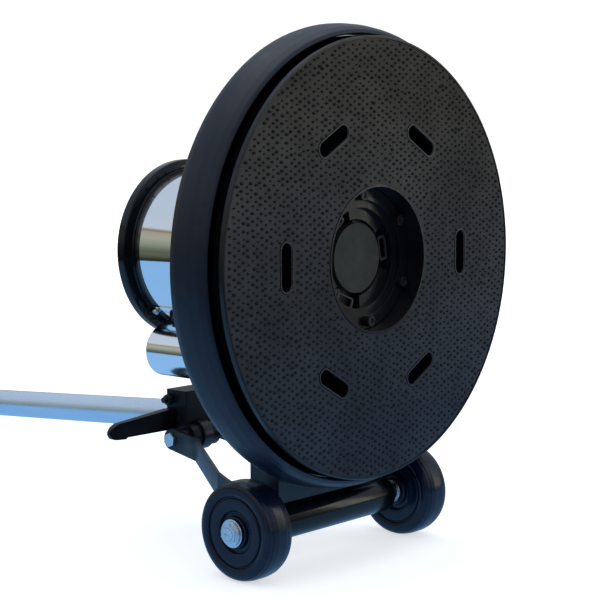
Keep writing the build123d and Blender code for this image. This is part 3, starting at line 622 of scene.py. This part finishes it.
def floor():
    """Pale floor; in reflections it is sky-lit blue close by and darker ground further out."""
    bpy.ops.mesh.primitive_circle_add(vertices=128, radius=14.0, fill_type="NGON")
    obj = bpy.context.object
    obj.name = "floor"
    mat = bpy.data.materials.new("pale_floor")
    mat.use_nodes = True
    tree = mat.node_tree
    shader = tree.nodes["Principled BSDF"]
    shader.inputs["Base Color"].default_value = (0.90, 0.90, 0.90, 1)
    shader.inputs["Roughness"].default_value = 0.9
    shader.inputs["Specular IOR Level"].default_value = 0.0
    shader.inputs["Emission Color"].default_value = (1, 1, 1, 1)
    place = tree.nodes.new("ShaderNodeTexCoord")
    far = tree.nodes.new("ShaderNodeVectorMath")
    far.operation = "LENGTH"
    tree.links.new(place.outputs["Object"], far.inputs[0])
    glow = tree.nodes.new("ShaderNodeMapRange")
    set_range(glow, 0.9, 2.6, GLOW_NEAR, GLOW_FAR)
    tree.links.new(far.outputs["Value"], glow.inputs["Value"])
    tree.links.new(glow.outputs["Result"], shader.inputs["Emission Strength"])
    reach = tree.nodes.new("ShaderNodeMapRange")
    set_range(reach, 0.6, 3.0)
    tree.links.new(far.outputs["Value"], reach.inputs["Value"])
    ramp = tree.nodes.new("ShaderNodeValToRGB")
    stops = [(0.0, (0.25, 0.49, 0.82)), (0.24, (0.25, 0.49, 0.82)), (0.265, (0.025, 0.022, 0.018)),
             (0.40, (0.035, 0.036, 0.028)), (0.55, (0.07, 0.08, 0.055)), (1.0, (0.11, 0.125, 0.09))]
    fill_ramp(ramp, stops)
    tree.links.new(reach.outputs["Result"], ramp.inputs["Fac"])
    seen = tree.nodes.new("ShaderNodeEmission")
    tree.links.new(ramp.outputs["Color"], seen.inputs["Color"])
    path = tree.nodes.new("ShaderNodeLightPath")
    mix = tree.nodes.new("ShaderNodeMixShader")
    tree.links.new(path.outputs["Is Camera Ray"], mix.inputs[0])
    tree.links.new(seen.outputs[0], mix.inputs[1])
    tree.links.new(shader.outputs[0], mix.inputs[2])
    tree.links.new(mix.outputs[0], tree.nodes["Material Output"].inputs["Surface"])
    obj.data.materials.append(mat)


def fill_ramp(ramp, stops):
    ramp.color_ramp.elements.remove(ramp.color_ramp.elements[1])
    for k, (at, color) in enumerate(stops):
        stop = ramp.color_ramp.elements[0] if k == 0 else ramp.color_ramp.elements.new(at)
        stop.position = at
        stop.color = (*color, 1)


def area_light(name, place, aim, size, power, color=(1, 1, 1)):
    data = bpy.data.lights.new(name, "AREA")
    data.shape = "RECTANGLE"
    data.size, data.size_y = size
    data.energy = power
    data.color = color
    obj = bpy.data.objects.new(name, data)
    obj.location = place
    obj.rotation_euler = (Vector(aim) - Vector(place)).to_track_quat("-Z", "Y").to_euler()
    bpy.context.scene.collection.objects.link(obj)
    return obj


def world():
    made = bpy.data.worlds.new("studio")
    made.use_nodes = True
    bpy.context.scene.world = made
    tree = made.node_tree
    back = tree.nodes["Background"]
    where = tree.nodes.new("ShaderNodeTexCoord")
    parts = tree.nodes.new("ShaderNodeSeparateXYZ")
    tree.links.new(where.outputs["Generated"], parts.inputs[0])
    height = tree.nodes.new("ShaderNodeMapRange")
    set_range(height, -1.0)
    tree.links.new(parts.outputs["Z"], height.inputs["Value"])
    ramp = tree.nodes.new("ShaderNodeValToRGB")
    stops = [(0.0, (0.11, 0.13, 0.09)), (0.5, (0.15, 0.18, 0.13)), (0.535, (0.28, 0.32, 0.24)),
             (0.59, (0.42, 0.44, 0.36)), (0.63, (0.44, 0.39, 0.30)), (0.648, (0.30, 0.21, 0.13)),
             (0.665, (0.58, 0.67, 0.78)), (1.0, (0.52, 0.63, 0.78))]
    fill_ramp(ramp, stops)
    tree.links.new(height.outputs["Result"], ramp.inputs["Fac"])
    tree.links.new(ramp.outputs["Color"], back.inputs["Color"])
    back.inputs["Strength"].default_value = SKY
    white = tree.nodes.new("ShaderNodeBackground")
    white.inputs["Color"].default_value = (1, 1, 1, 1)
    white.inputs["Strength"].default_value = GLOW_FAR
    path = tree.nodes.new("ShaderNodeLightPath")
    mix = tree.nodes.new("ShaderNodeMixShader")
    tree.links.new(path.outputs["Is Camera Ray"], mix.inputs[0])
    tree.links.new(back.outputs[0], mix.inputs[1])
    tree.links.new(white.outputs[0], mix.inputs[2])
    tree.links.new(mix.outputs[0], tree.nodes["World Output"].inputs["Surface"])


def stage():
    bpy.context.scene.view_settings.view_transform = "Standard"
    camera()
    floor()
    world()
    area_light("overhead", (0.2, FACE_Y + 0.3, 3.2), (0, FACE_Y + 0.2, 0), (3.0, 3.0), OVERHEAD)
    area_light("side", (1.9, FACE_Y - 1.5, 0.9), (0, FACE_Y, 0.15), (0.35, 1.8), SIDE, (1.0, 0.97, 0.93))


stage()
build()
